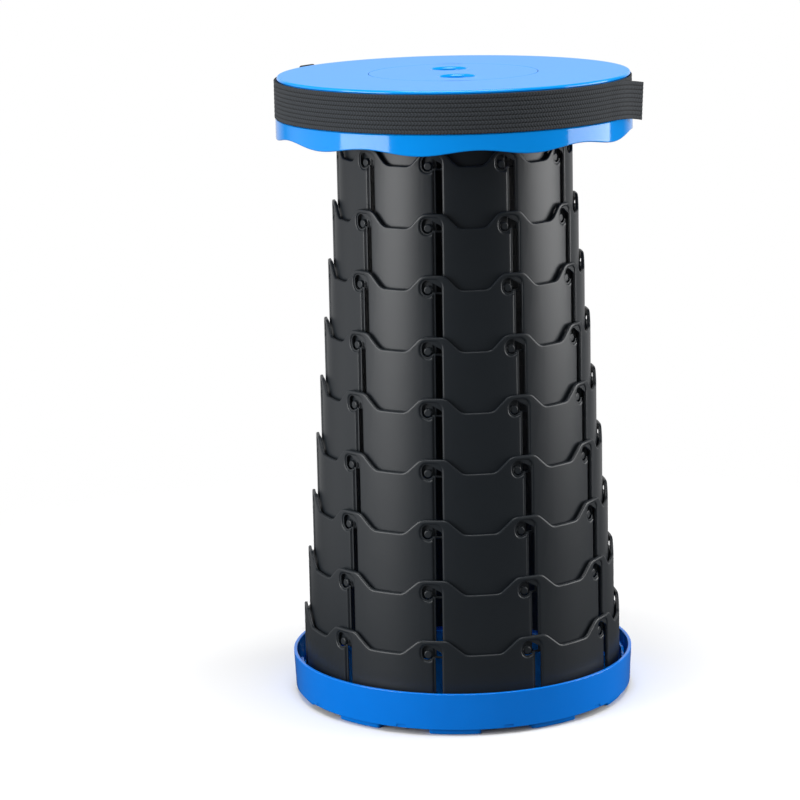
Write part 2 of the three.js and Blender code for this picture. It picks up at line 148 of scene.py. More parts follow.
world = bpy.data.worlds.new("white room")
bpy.context.scene.world = world
world.use_nodes = True
tree = world.node_tree
tree.nodes.clear()
path = add(tree, "ShaderNodeLightPath")
gleam = add(tree, "ShaderNodeMath", {0: path.outputs["Is Glossy Ray"],
                                     1: path.outputs["Is Transmission Ray"]}, operation="MAXIMUM")
place = add(tree, "ShaderNodeTexCoord")
parts = add(tree, "ShaderNodeSeparateXYZ", {0: place.outputs["Generated"]})
rear = wall_glow(parts.outputs["Y"], *BEHIND, DARK_ROOM)
left = wall_glow(parts.outputs["X"], *ON_LEFT, 0.0)
walls = add(tree, "ShaderNodeMath", {0: rear.outputs[0], 1: left.outputs[0]}, operation="MAXIMUM")
dim = add(tree, "ShaderNodeMix", {"Factor": gleam.outputs[0], 2: EVEN_LIGHT, 3: walls.outputs[0]},
          data_type="FLOAT")
strength = add(tree, "ShaderNodeMix", {"Factor": path.outputs["Is Camera Ray"], 2: dim.outputs[0], 3: 1.0},
               data_type="FLOAT")
room = add(tree, "ShaderNodeBackground", {"Color": colour("#ffffff"), "Strength": strength.outputs[0]})
add(tree, "ShaderNodeOutputWorld", {"Surface": room.outputs[0]})
print("world nodes:", len(tree.nodes))

# %% Softboxes
BESIDE = {"distance": 1.35, "height": 0.45, "aim": 0.45, "length": 0.9}


def softbox(name, azimuth, distance, height, aim, width, length, radiance):
    light = bpy.data.lights.new(name, "AREA")
    light.shape = "RECTANGLE"
    light.size, light.size_y = width, length
    light.energy = radiance * math.pi * width * length
    obj = bpy.data.objects.new(name, light)
    turn = radians(azimuth)
    centre = Vector((math.sin(turn) * distance, -math.cos(turn) * distance, height))
    back = centre - Vector((0, 0, aim))
    obj.matrix_world = Matrix.Translation(centre) @ back.to_track_quat("Z", "Y").to_matrix().to_4x4()
    bpy.context.scene.collection.objects.link(obj)
    return obj


lamps = [
    softbox("softbox_left", azimuth=-58, width=0.82, radiance=5.5, **BESIDE),
    softbox("softbox_right", azimuth=93, width=0.98, radiance=5.0, **BESIDE),
    softbox("softbox_above", azimuth=0, width=1.2, radiance=5.2, distance=0.25, height=1.9, aim=0.4,
            length=1.2),
]
print("lamps:", [lamp.name for lamp in lamps])

# %% Floor
PAPER_SEEN = "#f7f7f7"
PAPER_CAST = "#4e4e4e"
SHADOW_FROM, SHADOW_TO = 0.16, 0.7
FLOOR_HALF = 20


def floor_material():
    material, tree = new_material("matt white paper floor")
    path = add(tree, "ShaderNodeLightPath")
    place = add(tree, "ShaderNodeTexCoord")
    reach = add(tree, "ShaderNodeVectorMath", {0: place.outputs["Object"]}, operation="LENGTH")
    # Paper near the stool takes its shadow. Further out it fades into the room.
    fade = add(tree, "ShaderNodeMapRange", {"Value": reach.outputs["Value"], "From Min": SHADOW_FROM,
                                            "From Max": SHADOW_TO}, interpolation_type="SMOOTHSTEP")
    direct = add(tree, "ShaderNodeMath", {0: path.outputs["Is Camera Ray"], 1: path.outputs["Is Glossy Ray"]},
                 operation="MAXIMUM")
    hidden = add(tree, "ShaderNodeMath", {0: fade.outputs[0], 1: direct.outputs[0]}, operation="MULTIPLY")
    # The paper looks white to the camera, and throws back less light than white paper would.
    tone = add(tree, "ShaderNodeMix", {"Factor": path.outputs["Is Camera Ray"], 6: colour(PAPER_CAST),
                                       7: colour(PAPER_SEEN)}, data_type="RGBA")
    paper = add(tree, "ShaderNodeBsdfDiffuse", {"Color": tone.outputs[2]})
    clear = add(tree, "ShaderNodeBsdfTransparent")
    mix = add(tree, "ShaderNodeMixShader", {0: hidden.outputs[0], 1: paper.outputs[0], 2: clear.outputs[0]})
    add(tree, "ShaderNodeOutputMaterial", {"Surface": mix.outputs[0]})
    return material


bm = bmesh.new()
bmesh.ops.create_grid(bm, x_segments=1, y_segments=1, size=FLOOR_HALF)
floor_mesh = bpy.data.meshes.new("floor")
bm.to_mesh(floor_mesh)
bm.free()
floor_mesh.materials.append(floor_material())
floor = bpy.data.objects.new("floor", floor_mesh)
bpy.context.scene.collection.objects.link(floor)
bpy.context.scene.view_settings.view_transform = "Standard"
print("floor is", floor_mesh.vertices[3].co.x * 2, "m wide")

# %% [markdown]
# ## Plastics
# Seat, base and rings are moulded polypropylene. A mould leaves a very fine grain, and the plastic
# shrinks a little as it cools, so that a broad face is never quite flat. The grain is too fine to
# show from here, so it is drawn as coarse as it needs to show. The seat and the base come from
# polished moulds and the rings from a blasted one, so the rings are duller. The flat top of the
# seat is satin too, so that it isn't slippery.

# %% Moulded plastic
GRAIN = 0.35
SINK = 14.0
SATIN = 0.3
SATIN_STEP = 0.2
SEAT_SATIN = 442.0


def moulded(name, code, shade, roughness, spread, grain_depth, sink_depth, satin_from=1000):
    material, tree = new_material(name)
    place = add(tree, "ShaderNodeTexCoord").outputs["Object"]
    grain = add(tree, "ShaderNodeTexNoise", {"Vector": place, "Scale": 1 / (GRAIN * MILLIMETRE), "Detail": 2.0})
    sink = add(tree, "ShaderNodeTexNoise", {"Vector": place, "Scale": 1 / (SINK * MILLIMETRE), "Detail": 1.0})
    tone = add(tree, "ShaderNodeMix", {"Factor": sink.outputs["Fac"], 6: colour(code), 7: colour(shade)},
               data_type="RGBA")
    gloss = add(tree, "ShaderNodeMapRange", {"Value": grain.outputs["Fac"], "From Min": 0.3, "From Max": 0.7,
                                             "To Min": roughness, "To Max": roughness + spread})
    # Above the height satin_from the mould was blasted, and the surface is satin.
    height = add(tree, "ShaderNodeSeparateXYZ", {0: place}).outputs[2]
    blasted = add(tree, "ShaderNodeMapRange", {"Value": height,
                                               "From Min": (satin_from - SATIN_STEP) * MILLIMETRE,
                                               "From Max": satin_from * MILLIMETRE})
    gloss = add(tree, "ShaderNodeMix", {"Factor": blasted.outputs[0], 2: gloss.outputs[0], 3: SATIN},
                data_type="FLOAT")
    fine = add(tree, "ShaderNodeBump", {"Height": grain.outputs["Fac"], "Strength": 1.0,
                                        "Distance": grain_depth * MILLIMETRE})
    broad = add(tree, "ShaderNodeBump", {"Height": sink.outputs["Fac"], "Strength": 1.0,
                                         "Distance": sink_depth * MILLIMETRE, "Normal": fine.outputs[0]})
    surface = add(tree, "ShaderNodeBsdfPrincipled", {"Base Color": tone.outputs[2], "IOR": 1.49,
                                                     "Roughness": gloss.outputs[0], "Normal": broad.outputs[0]})
    add(tree, "ShaderNodeOutputMaterial", {"Surface": surface.outputs[0]})
    return material


seat_plastic = moulded("glossy blue polypropylene", "#0799fb", "#0695f6", roughness=0.07, spread=0.03,
                       grain_depth=0.0005, sink_depth=0.015, satin_from=SEAT_SATIN)
base_plastic = moulded("glossy deep blue polypropylene", "#0382f2", "#037eec", roughness=0.14, spread=0.05,
                       grain_depth=0.001, sink_depth=0.03)
ring_plastic = moulded("satin charcoal polypropylene", "#20252a", "#1e2328", roughness=0.34, spread=0.08,
                       grain_depth=0.004, sink_depth=0.04)
buckle_plastic = moulded("satin black acetal", "#131416", "#111214", roughness=0.32, spread=0.08,
                         grain_depth=0.004, sink_depth=0.0)
print("plastics:", [m.name for m in (seat_plastic, base_plastic, ring_plastic, buckle_plastic)])

# %% [markdown]
# ## Steel
# The rivet heads are nickel-plated steel, pressed and tumbled, so they are bright with faint
# scratches that have no direction.

# %% Plated steel
SCRATCH = 0.6
SCRATCH_DEPTH = 0.01


def plated_steel():
    material, tree = new_material("nickel plated steel")
    place = add(tree, "ShaderNodeTexCoord").outputs["Object"]
    scuff = add(tree, "ShaderNodeTexNoise", {"Vector": place, "Scale": 1 / (SCRATCH * MILLIMETRE),
                                                "Detail": 6.0})
    gloss = add(tree, "ShaderNodeMapRange", {"Value": scuff.outputs["Fac"], "From Min": 0.35, "From Max": 0.65,
                                             "To Min": 0.18, "To Max": 0.32})
    dents = add(tree, "ShaderNodeBump", {"Height": scuff.outputs["Fac"], "Strength": 1.0,
                                         "Distance": SCRATCH_DEPTH * MILLIMETRE})
    surface = add(tree, "ShaderNodeBsdfPrincipled", {"Base Color": colour("#c9c8c4"), "Metallic": 1.0,
                                                     "Roughness": gloss.outputs[0], "Normal": dents.outputs[0]})
    add(tree, "ShaderNodeOutputMaterial", {"Surface": surface.outputs[0]})
    return material


rivet_metal = plated_steel()
print("steel:", rivet_metal.name)

# %% [markdown]
# ## Webbing
# The belt and the handle are woven polyester webbing with lengthwise ribs. The yarns cross it as
# short diagonal floats that lean one way on one rib and the other way on the next, a herringbone.
# The pattern follows the strap's own UV map, laid out in metres, with painted shade in its low places.

# %% Woven webbing
WEB_WIDTH = 25.8
RIBS = 9
RIB_PITCH = WEB_WIDTH / RIBS
PICK_PITCH = 2.2
FUZZ = 0.4
WEAVE_DEPTH = 0.09


def woven():
    material, tree = new_material("grey herringbone polyester webbing")
    place = add(tree, "ShaderNodeUVMap", uv_map="UVMap").outputs["UV"]
    parts = add(tree, "ShaderNodeSeparateXYZ", {0: place})
    rib = add(tree, "ShaderNodeMath", {0: parts.outputs[1], 1: RIB_PITCH * MILLIMETRE}, operation="DIVIDE")
    lean = add(tree, "ShaderNodeMath", {0: rib.outputs[0], 1: 1.0}, operation="PINGPONG")
    pick = add(tree, "ShaderNodeMath", {0: parts.outputs[0], 1: PICK_PITCH * MILLIMETRE}, operation="DIVIDE")
    slant = add(tree, "ShaderNodeMath", {0: pick.outputs[0], 1: lean.outputs[0]}, operation="ADD")
    turn = add(tree, "ShaderNodeMath", {0: slant.outputs[0], 1: 2 * math.pi}, operation="MULTIPLY")
    yarn = add(tree, "ShaderNodeMath", {0: turn.outputs[0]}, operation="SINE")
    fuzz = add(tree, "ShaderNodeTexNoise", {"Vector": place, "Scale": 1 / (FUZZ * MILLIMETRE), "Detail": 4.0})
    bumpy = add(tree, "ShaderNodeMath", {0: yarn.outputs[0], 1: fuzz.outputs["Fac"]}, operation="ADD")
    off_rib = add(tree, "ShaderNodeMath", {0: rib.outputs[0], 1: 0.5}, operation="PINGPONG")
    furrow = add(tree, "ShaderNodeMapRange", {"Value": off_rib.outputs[0], "From Min": 0.3, "From Max": 0.48,
                                              "To Min": 0.0, "To Max": 2.2})
    height = add(tree, "ShaderNodeMath", {0: bumpy.outputs[0], 1: furrow.outputs[0]}, operation="SUBTRACT")
    # The colour follows this height. Raised yarns are painted lighter, and the troughs between yarns and the
    # furrows between ribs are painted darker: painted light and shade. The fuzz adds a random fibre tone.
    fibre_tone_and_painted_shade = add(tree, "ShaderNodeMapRange", {"Value": height.outputs[0], "From Min": -1.6, "From Max": 1.6})
    tone = add(tree, "ShaderNodeMix", {"Factor": fibre_tone_and_painted_shade.outputs[0], 6: colour("#101316"), 7: colour("#393e44")},
               data_type="RGBA")
    relief = add(tree, "ShaderNodeBump", {"Height": height.outputs[0], "Strength": 1.0,
                                          "Distance": WEAVE_DEPTH * MILLIMETRE})
    surface = add(tree, "ShaderNodeBsdfPrincipled", {"Base Color": tone.outputs[2], "Roughness": 0.85,
                                                     "IOR": 1.5, "Sheen Weight": 0.05, "Sheen Roughness": 0.5,
                                                     "Normal": relief.outputs[0]})
    add(tree, "ShaderNodeOutputMaterial", {"Surface": surface.outputs[0]})
    return material


webbing_cloth = woven()
print("cloth:", webbing_cloth.name)

# %% [markdown]
# ## Outlines and plates
# Most parts of the stool are walls of even thickness. Such a wall is easiest to draw flat, as a
# filled curve with holes in it, because a curve can round all its edges at once. The flat plate is
# then sliced upright and bent to its radius. The two helpers below round the corners of an outline
# and make the plate.

# %% Outline helpers
def arc(x, y, radius, start, end, steps):
    turns = [radians(start + (end - start) * step / steps) for step in range(steps + 1)]
    return [(x + radius * math.cos(turn), y + radius * math.sin(turn), 0) for turn in turns]


def rounded(corners, steps=5):
    outline = []
    for before, here, after in zip(corners[-1:] + corners[:-1], corners, corners[1:] + corners[:1]):
        corner, radius = Vector(here[:2]), here[2]
        if not radius:
            outline.append(corner)
            continue
        back = (Vector(before[:2]) - corner).normalized()
        ahead = (Vector(after[:2]) - corner).normalized()
        half = back.angle(ahead) / 2
        centre = corner + (back + ahead).normalized() * radius / math.sin(half)
        first = corner + back * radius / math.tan(half) - centre
        last = corner + ahead * radius / math.tan(half) - centre
        # slerp gives a vector of length 1.
        outline += [centre + first.slerp(last, step / steps) * radius for step in range(steps + 1)]
    return outline


square = rounded([(0, 0, 1), (9, 0, 1), (9, 9, 1), (0, 9, 1)])
print("a rounded square has", len(square), "points")

# %% Plate helper
WELD = 1e-4


def plate(outlines, low, high, edge, resolution=1):
    curve = bpy.data.curves.new("plate", "CURVE")
    curve.dimensions = "2D"
    curve.fill_mode = "BOTH"
    curve.extrude = (high - low) / 2 - edge
    curve.bevel_depth = edge
    curve.bevel_resolution = resolution
    curve.offset = -edge
    for outline in outlines:
        spline = curve.splines.new("POLY")
        spline.points.add(len(outline) - 1)
        for point, place in zip(spline.points, outline):
            point.co = (place[0], place[1], 0, 1)
        spline.use_cyclic_u = True
    holder = bpy.data.objects.new("plate", curve)
    mesh = bpy.data.meshes.new_from_object(holder)
    bm = bmesh.new()
    bm.from_mesh(mesh)
    bpy.data.objects.remove(holder)
    bpy.data.curves.remove(curve)
    bpy.data.meshes.remove(mesh)
    bmesh.ops.remove_doubles(bm, verts=bm.verts, dist=WELD)
    bmesh.ops.translate(bm, verts=bm.verts, vec=(0, 0, (low + high) / 2))
    return bm


sample = plate([square], 0, 2, 0.3)
print("a square plate has", len(sample.faces), "faces")
sample.free()

# %% [markdown]
# A bmesh is made into a piece of the stool in one place: it is brought to metres, gets its
# material, smooth faces with sharp corners kept, and weighted normals, which keep broad faces
# clean beside narrow rounded edges. Then it rides on its body and stands for its node.

# %% Piece helper
SHARP = 32


def piece(name, bm, body, material, slot, *nodes, sharp=SHARP):
    bmesh.ops.scale(bm, verts=bm.verts, vec=(MILLIMETRE,) * 3)
    mesh = bpy.data.meshes.new(name)
    bm.to_mesh(mesh)
    bm.free()
    mesh.materials.append(material)
    mesh.shade_smooth()
    mesh.set_sharp_from_angle(angle=radians(sharp))
    obj = bpy.data.objects.new(name, mesh)
    bpy.context.scene.collection.objects.link(obj)
    weighted = obj.modifiers.new("weighted normals", "WEIGHTED_NORMAL")
    weighted.keep_sharp = True
    if body:
        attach(obj, body)
    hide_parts(*nodes)
    print(name, len(mesh.polygons), "faces")
    return obj


print("a fold of more than", SHARP, "degrees stays sharp")

# %% [markdown]
# ## Bending a sector
# Everything round the stool repeats ten times. One sector is drawn flat, with its length a little
# over a tenth of the way round. It is trimmed to exactly a tenth, sliced every few degrees so that
# it can bend, bent, and spun round the axis as ten copies, which are then merged.

# %% Sector helpers
SECTORS = 10
SLICE = 2.25
SPARE_END = 3
ON_PLANE = 1e-5
TOUCHING = 1e-3


def everything(bm):
    return bm.verts[:] + bm.edges[:] + bm.faces[:]


def sector_width(radius):
    return 2 * math.pi * radius / SECTORS


def sliced(bm, places):
    for place in places:
        bmesh.ops.bisect_plane(bm, geom=everything(bm), dist=ON_PLANE, plane_co=(place, 0, 0),
                               plane_no=(1, 0, 0))
    return bm


def trimmed(bm, radius):
    half = sector_width(radius) / 2
    for side in (-1, 1):
        bmesh.ops.bisect_plane(bm, geom=everything(bm), dist=ON_PLANE, plane_co=(side * half, 0, 0),
                               plane_no=(side, 0, 0), clear_outer=True)
    # Only the corners of the trimmed ends stay, so that the ends of neighbours match.
    flat = [vert for vert in bm.verts if abs(abs(vert.co.x) - half) < TOUCHING and vert.is_boundary]
    spare = []
    for vert in flat:
        ends = [edge.other_vert(vert).co - vert.co for edge in vert.link_edges if edge.is_boundary]
        if len(ends) == 2 and ends[0].angle(ends[1]) > math.pi - 1e-3:
            spare.append(vert)
    bmesh.ops.dissolve_verts(bm, verts=spare)
    slices = round(360 / SECTORS / SLICE)
    return sliced(bm, [half * (2 * step / slices - 1) for step in range(1, slices)])


def bent(bm, radius, phase):
    for vert in bm.verts:
        along, up, out = vert.co
        turn = radians(phase) + along / radius
        reach = radius + out
        vert.co = (reach * math.cos(turn), reach * math.sin(turn), up)
    return bm


def merged(bm):
    bmesh.ops.remove_doubles(bm, verts=bm.verts, dist=TOUCHING)
    bmesh.ops.recalc_face_normals(bm, faces=bm.faces)
    return bm


def ten_times(bm):
    bmesh.ops.spin(bm, geom=everything(bm), cent=(0, 0, 0), axis=(0, 0, 1), steps=SECTORS - 1,
                   angle=2 * math.pi * (SECTORS - 1) / SECTORS, use_duplicate=True)
    return merged(bm)


print("a sector is", round(sector_width(100), 1), "mm wide at a radius of 100 mm")

# %% [markdown]
# ## Rings
# Each ring is a wall 2.2 mm thick with a wavy upper edge. Under each crest there is a keyhole: a
# straight slot with a slanted end that opens into an upright seat beside it. The pegs of the next
# smaller ring lock in the seats. Twist a ring and its pegs cross over the short post to the slots,
# where the rings would come apart. Below each seat, a shallow groove inside the wall lets the peg
# slide down when the stool folds. The wall is drawn as three plates. The inner plate has the
# keyhole and the groove, the thin skin before it has a wider keyhole, and the raised tiles lie on
# the skin.

# %% Ring sizes
RINGS = 10
WALL = 2.2
RING_STEP = 3.85
RING_HEIGHT = 54.8
RING_PHASE = -101.4
RING_TRAVEL = 41.5
COLLAR_RADIUS = 116.9
COLLAR_TOP = 23.6
WAVE = 10.2
WAVE_ROUND = 8
CREST_SHARE = 0.14
DIP_SHARE = 0.32
SLOT_HALF = 2.3
LOCK_OFFSET = 3.9
SEAT_RADIUS = 3.9
SEAT_RISE = 2.4
SEAT_DROP = 9.6
SLANT_DROP = 8.4
SLANT_ROUND = 2.4
SLANT_TURN = 50
POST_DROP = 1.8
POST_STEP = 1
SLOT_FLOOR = 1.3
SLOT_ROUND = 0.6
STRIP = 1.5
CHANNEL_RIGHT = 6.4
SEAT_RIM = 1.1
SEAT_RIM_TURN = -40
HOOD = 2.8
ARCH_ROUND = 5.0
GROOVE_HALF = 3.4
EDGE = 0.3


def ring_radius(ring):
    return COLLAR_RADIUS - (RINGS + 1 - ring) * RING_STEP


def ring_top(ring):
    return COLLAR_TOP + (RINGS + 1 - ring) * RING_TRAVEL


print("ring radii from", round(ring_radius(1), 2), "to", round(ring_radius(RINGS), 2), "mm")

# %% Ring outlines
def wavy_edge(width, top):
    half = width / 2 + SPARE_END
    high, low = CREST_SHARE * width, DIP_SHARE * width
    return [(half, top - WAVE, 0), (low, top - WAVE, WAVE_ROUND), (high, top, WAVE_ROUND),
            (-high, top, WAVE_ROUND), (-low, top - WAVE, WAVE_ROUND), (-half, top - WAVE, 0)]


def keyhole(top, floor):
    # The slot is wider in the skin than behind it, which leaves a sunk strip along its left side.
    centre = top - SEAT_DROP
    left, right = LOCK_OFFSET - SLOT_HALF - STRIP, LOCK_OFFSET + SLOT_HALF
    post = math.degrees(math.asin((POST_DROP + POST_STEP) / SEAT_RADIUS))
    return [(left, floor, SLOT_ROUND), (right, floor, SLOT_ROUND), (right, top - SLANT_DROP, SLANT_ROUND),
            *arc(-LOCK_OFFSET, centre + SEAT_RISE, SEAT_RADIUS, SLANT_TURN, 180, 9),
            *arc(-LOCK_OFFSET, centre, SEAT_RADIUS, 180, 360 - post, 12),
            (left, centre - POST_DROP - POST_STEP, SLOT_ROUND)]


def skin_outlines(width, bottom, floor, top):
    half = width / 2 + SPARE_END
    return [rounded([(-half, bottom, 0), (half, bottom, 0)] + wavy_edge(width, top)),
            rounded(keyhole(top, floor))]


def tile_outline(width, bottom, top):
    # The tile on the left reaches the slot, and runs round the seat of the peg.
    half, arch, around_seat = width / 2 + SPARE_END, top - HOOD, SEAT_RADIUS + SEAT_RIM
    seat_edge = arc(-LOCK_OFFSET, top - SEAT_DROP, around_seat, SEAT_RIM_TURN, -180, 10)
    return [rounded([(-half, bottom, 0), (seat_edge[0][0], bottom, 0), *seat_edge,
                     (-LOCK_OFFSET - around_seat, arch, ARCH_ROUND), (CHANNEL_RIGHT, arch, ARCH_ROUND),
                     (CHANNEL_RIGHT, bottom, 0), (half, bottom, 0)] + wavy_edge(width, top), 6)]


def inner_outline(width, bottom, floor, top):
    half, centre = width / 2 + SPARE_END, top - SEAT_DROP
    left, right = LOCK_OFFSET - SLOT_HALF, LOCK_OFFSET + SLOT_HALF
    drop = math.sqrt(SEAT_RADIUS ** 2 - GROOVE_HALF ** 2)
    side = math.degrees(math.asin(drop / SEAT_RADIUS))
    post = math.sqrt(SEAT_RADIUS ** 2 - POST_DROP ** 2) - LOCK_OFFSET
    return [rounded([
        (-half, bottom, 0), (-LOCK_OFFSET - GROOVE_HALF, bottom, 0),
        *arc(-LOCK_OFFSET, centre, SEAT_RADIUS, 180 + side, 180, 3),
        *arc(-LOCK_OFFSET, centre + SEAT_RISE, SEAT_RADIUS, 180, SLANT_TURN, 9),
        (right, top - SLANT_DROP, SLANT_ROUND / 2), (right, floor, SLOT_ROUND), (left, floor, SLOT_ROUND),
        (left, centre - POST_DROP, SLOT_ROUND), (post, centre - POST_DROP, 0),
        (GROOVE_HALF - LOCK_OFFSET, centre - drop, 0),
        (GROOVE_HALF - LOCK_OFFSET, bottom, 0), (half, bottom, 0)] + wavy_edge(width, top))]


print("keyhole points:", len(rounded(keyhole(RING_HEIGHT, SLOT_FLOOR))))

# %% [markdown]
# The wall between two keyholes is a raised tile whose edges roll over. Each keyhole stands in a
# lower channel under an arch, with the tile on its left close beside it. A tile is a plate with
# thick round edges that is then pressed flat, so the roll is wider than it is deep. A peg is a
# short pin with a rounded end, drawn from a circle that is extruded and bevelled.

# %% Ring wall and pegs
RELIEF = 0.75
SKIN_BACK = 1.35
SKIN_EDGE = 0.2
LAP = 0.1
ROLL = 1.35
PEG_RADIUS = 3.0
PEG_ROUND = 1.1
PEG_STEPS = 28
PEG_RECESS = 1.75
PEG_DROP = 10.2


def join(bm, other):
    mesh = bpy.data.meshes.new("joined")
    other.to_mesh(mesh)
    other.free()
    bm.from_mesh(mesh)
    bpy.data.meshes.remove(mesh)
    return bm


def bevelled(bm, edges, offset, segments):
    bmesh.ops.bevel(bm, geom=edges, offset=offset, offset_type="OFFSET", segments=segments, profile=0.5,
                    affect="EDGES", material=-1)
    return bm


def locking_wall(radius, bottom, floor, top):
    width = sector_width(radius)
    skin = plate(skin_outlines(width, bottom, floor, top), -SKIN_BACK, -RELIEF, SKIN_EDGE)
    inner = plate(inner_outline(width, bottom, floor, top), -WALL, LAP - SKIN_BACK, EDGE)
    tiles = plate(tile_outline(width, bottom, top), -2 * ROLL, 0, ROLL, 3)
    for vert in tiles.verts:
        vert.co.z = max(vert.co.z * (RELIEF + LAP) / ROLL, LAP / 2 - SKIN_BACK)
    wall = bmesh.new()
    for layer in (skin, inner, tiles):
        join(wall, trimmed(layer, radius))
    return bent(wall, radius, RING_PHASE)


def peg(start, end, turn, height):
    bm = bmesh.new()
    bmesh.ops.create_circle(bm, cap_ends=True, radius=PEG_RADIUS, segments=PEG_STEPS)
    tip = bmesh.ops.extrude_face_region(bm, geom=bm.faces[:])["geom"]
    tip_verts = [vert for vert in tip if isinstance(vert, bmesh.types.BMVert)]
    bmesh.ops.translate(bm, verts=tip_verts, vec=(0, 0, end - start))
    bevelled(bm, [edge for edge in tip if isinstance(edge, bmesh.types.BMEdge)], PEG_ROUND, 4)
    out = Vector((math.cos(turn), math.sin(turn), 0))
    foot_at = Matrix.Translation(out * start + Vector((0, 0, height)))
    bmesh.ops.transform(bm, verts=bm.verts, matrix=foot_at @ out.to_track_quat("Z", "Y").to_matrix().to_4x4())
    return bm


def with_peg(bm, radius, height):
    outer = radius + RING_STEP
    turn = radians(RING_PHASE) - LOCK_OFFSET / outer
    return join(bm, peg(radius - WALL / 2, outer - PEG_RECESS, turn, height))


def ring(number):
    radius, top = ring_radius(number), ring_top(number)
    bottom = top - RING_HEIGHT
    wall = locking_wall(radius, bottom, bottom + SLOT_FLOOR, top)
    return ten_times(with_peg(wall, radius, ring_top(number + 1) - PEG_DROP))


print("a peg stands out by", round(RING_STEP - PEG_RECESS, 2), "mm")

# %% Rings
BODY_OF = {1: "seat"}
for number in range(RINGS, 0, -1):
    node = f"ring_{number:02d}"
    piece(f"{node}_wall", ring(number), BODY_OF.get(number, node), ring_plastic, "ring_black", node)

# %% [markdown]
# ## Base
# The base is a shallow tray. Its rim is bent from a plate in the same way, with a small notch at
# the foot between every two feet. Inside stands a collar like a short ring, which holds the
# largest ring. The floor is a profile spun round the axis, and the feet are blocks with rounded
# corners, bent to the rim.

# %% Base sizes
RIM_RADIUS = 121.0
RIM_WALL = 2.4
RIM_TOP = 30.2
RIM_DRAFT = 0.6
FOOT_HEIGHT = 4.3
FLOOR_TOP = 6.4
FOOT_PHASE = -94.0
FOOT_REACH = 117.0
FOOT_LENGTH = 14.0
NOTCH_HALF = 3.3
NOTCH_HEIGHT = 2.2
PAD_RADIUS = 30.0
TRAY_STEPS = 120


def spun(profile, steps, closed=True):
    bm = bmesh.new()
    verts = [bm.verts.new((radius, 0, height)) for radius, height, *_ in profile]
    edges = [bm.edges.new(pair) for pair in zip(verts, verts[1:] + verts[:1] if closed else verts[1:])]
    bmesh.ops.spin(bm, geom=verts + edges, cent=(0, 0, 0), axis=(0, 0, 1), steps=steps, angle=2 * math.pi,
                   use_merge=True)
    return merged(bm)


def rim():
    half, notch_top = sector_width(RIM_RADIUS) / 2 + SPARE_END, FOOT_HEIGHT + NOTCH_HEIGHT
    outline = rounded([(-half, FOOT_HEIGHT, 0), (-NOTCH_HALF, FOOT_HEIGHT, 0.5), (-NOTCH_HALF, notch_top, 0.8),
                       (NOTCH_HALF, notch_top, 0.8), (NOTCH_HALF, FOOT_HEIGHT, 0.5), (half, FOOT_HEIGHT, 0),
                       (half, RIM_TOP, 0), (-half, RIM_TOP, 0)])
    wall = trimmed(plate([outline], -RIM_WALL, 0, 0.5, 2), RIM_RADIUS)
    for vert in wall.verts:
        vert.co.z += RIM_DRAFT * (2 * (vert.co.y - FOOT_HEIGHT) / (RIM_TOP - FOOT_HEIGHT) - 1)
    return bent(wall, RIM_RADIUS, FOOT_PHASE + 180 / SECTORS)


def foot():
    half = radians(180 / SECTORS / 2) * FOOT_REACH
    outline = rounded([(-half, -FOOT_LENGTH, 2), (half, -FOOT_LENGTH, 2), (half, 0, 2.5), (-half, 0, 2.5)])
    block = sliced(plate([outline], 0, FOOT_HEIGHT + 1, 1.0, 2), [step * half / 5 for step in range(-4, 5)])
    for vert in block.verts:
        along, out, up = vert.co
        vert.co = (along, up, out)
    return bent(block, FOOT_REACH, FOOT_PHASE)


print("the rim is", round(RIM_TOP - FOOT_HEIGHT, 1), "mm tall")

# %% Base tray
collar = locking_wall(COLLAR_RADIUS, FOOT_HEIGHT + 1, FLOOR_TOP + SLOT_FLOOR, COLLAR_TOP)
tray = ten_times(join(join(rim(), foot()), collar))
in_rim = RIM_RADIUS - RIM_WALL / 2
tray_floor = spun(rounded([(0, FLOOR_TOP, 0), (in_rim, FLOOR_TOP, 0), (in_rim, FOOT_HEIGHT, 0),
                           (PAD_RADIUS, FOOT_HEIGHT, 1.5), (PAD_RADIUS - 1, 0, 1.0), (0, 0, 0)]),
                  TRAY_STEPS, closed=False)
piece("base_tray_moulding", join(tray, tray_floor), "base", base_plastic, "base_blue", "base_tray")

# %% [markdown]
# ## Seat
# The seat is one moulding: a flat top with a rounded edge, a groove for the belt, a wavy skirt
# below it, and underneath a ledge for the cap and a short tube whose pegs hold the smallest ring.
# All of it turns round the axis, so its profile is spun. Then the lower edge of the skirt is
# pushed down between the crests of its wave.

# %% Seat sizes
SEAT_TOP = 442.1
UNDERSIDE = 438.9
SKIRT_RADIUS = 124.0
SKIRT_WALL = 2.2
GROOVE_RADIUS = 122.5
LIP_BOTTOM = 440.1
UNDERCUT = 1.4
SHOULDER = 413.3
BELT_MIDDLE = 427.1
SKIRT_SHORT = 402.6
SKIRT_WAVE = 3.6
SKIRT_PHASE = -84.0
OPENING_RADIUS = 58.9
LEDGE_RADIUS = 55.5
LEDGE_TOP = 438.6
LEDGE_BOTTOM = 436.4
LEDGE_RIM = 3.0
SPIGOT_RADIUS = 74.55
SPIGOT_BOTTOM = 425.3
SPIGOT_PEG = 428.4
RIB_DEPTH = 8.0
RIB_WALL = 2.0
SEAT_STEPS = 200


def crest(angle):
    share = (math.degrees(angle) - SKIRT_PHASE) / (360 / SECTORS)
    return 0.5 + 0.5 * math.cos(2 * math.pi * share)


print("skirt edge from", SKIRT_SHORT - SKIRT_WAVE, "to", SKIRT_SHORT, "mm")

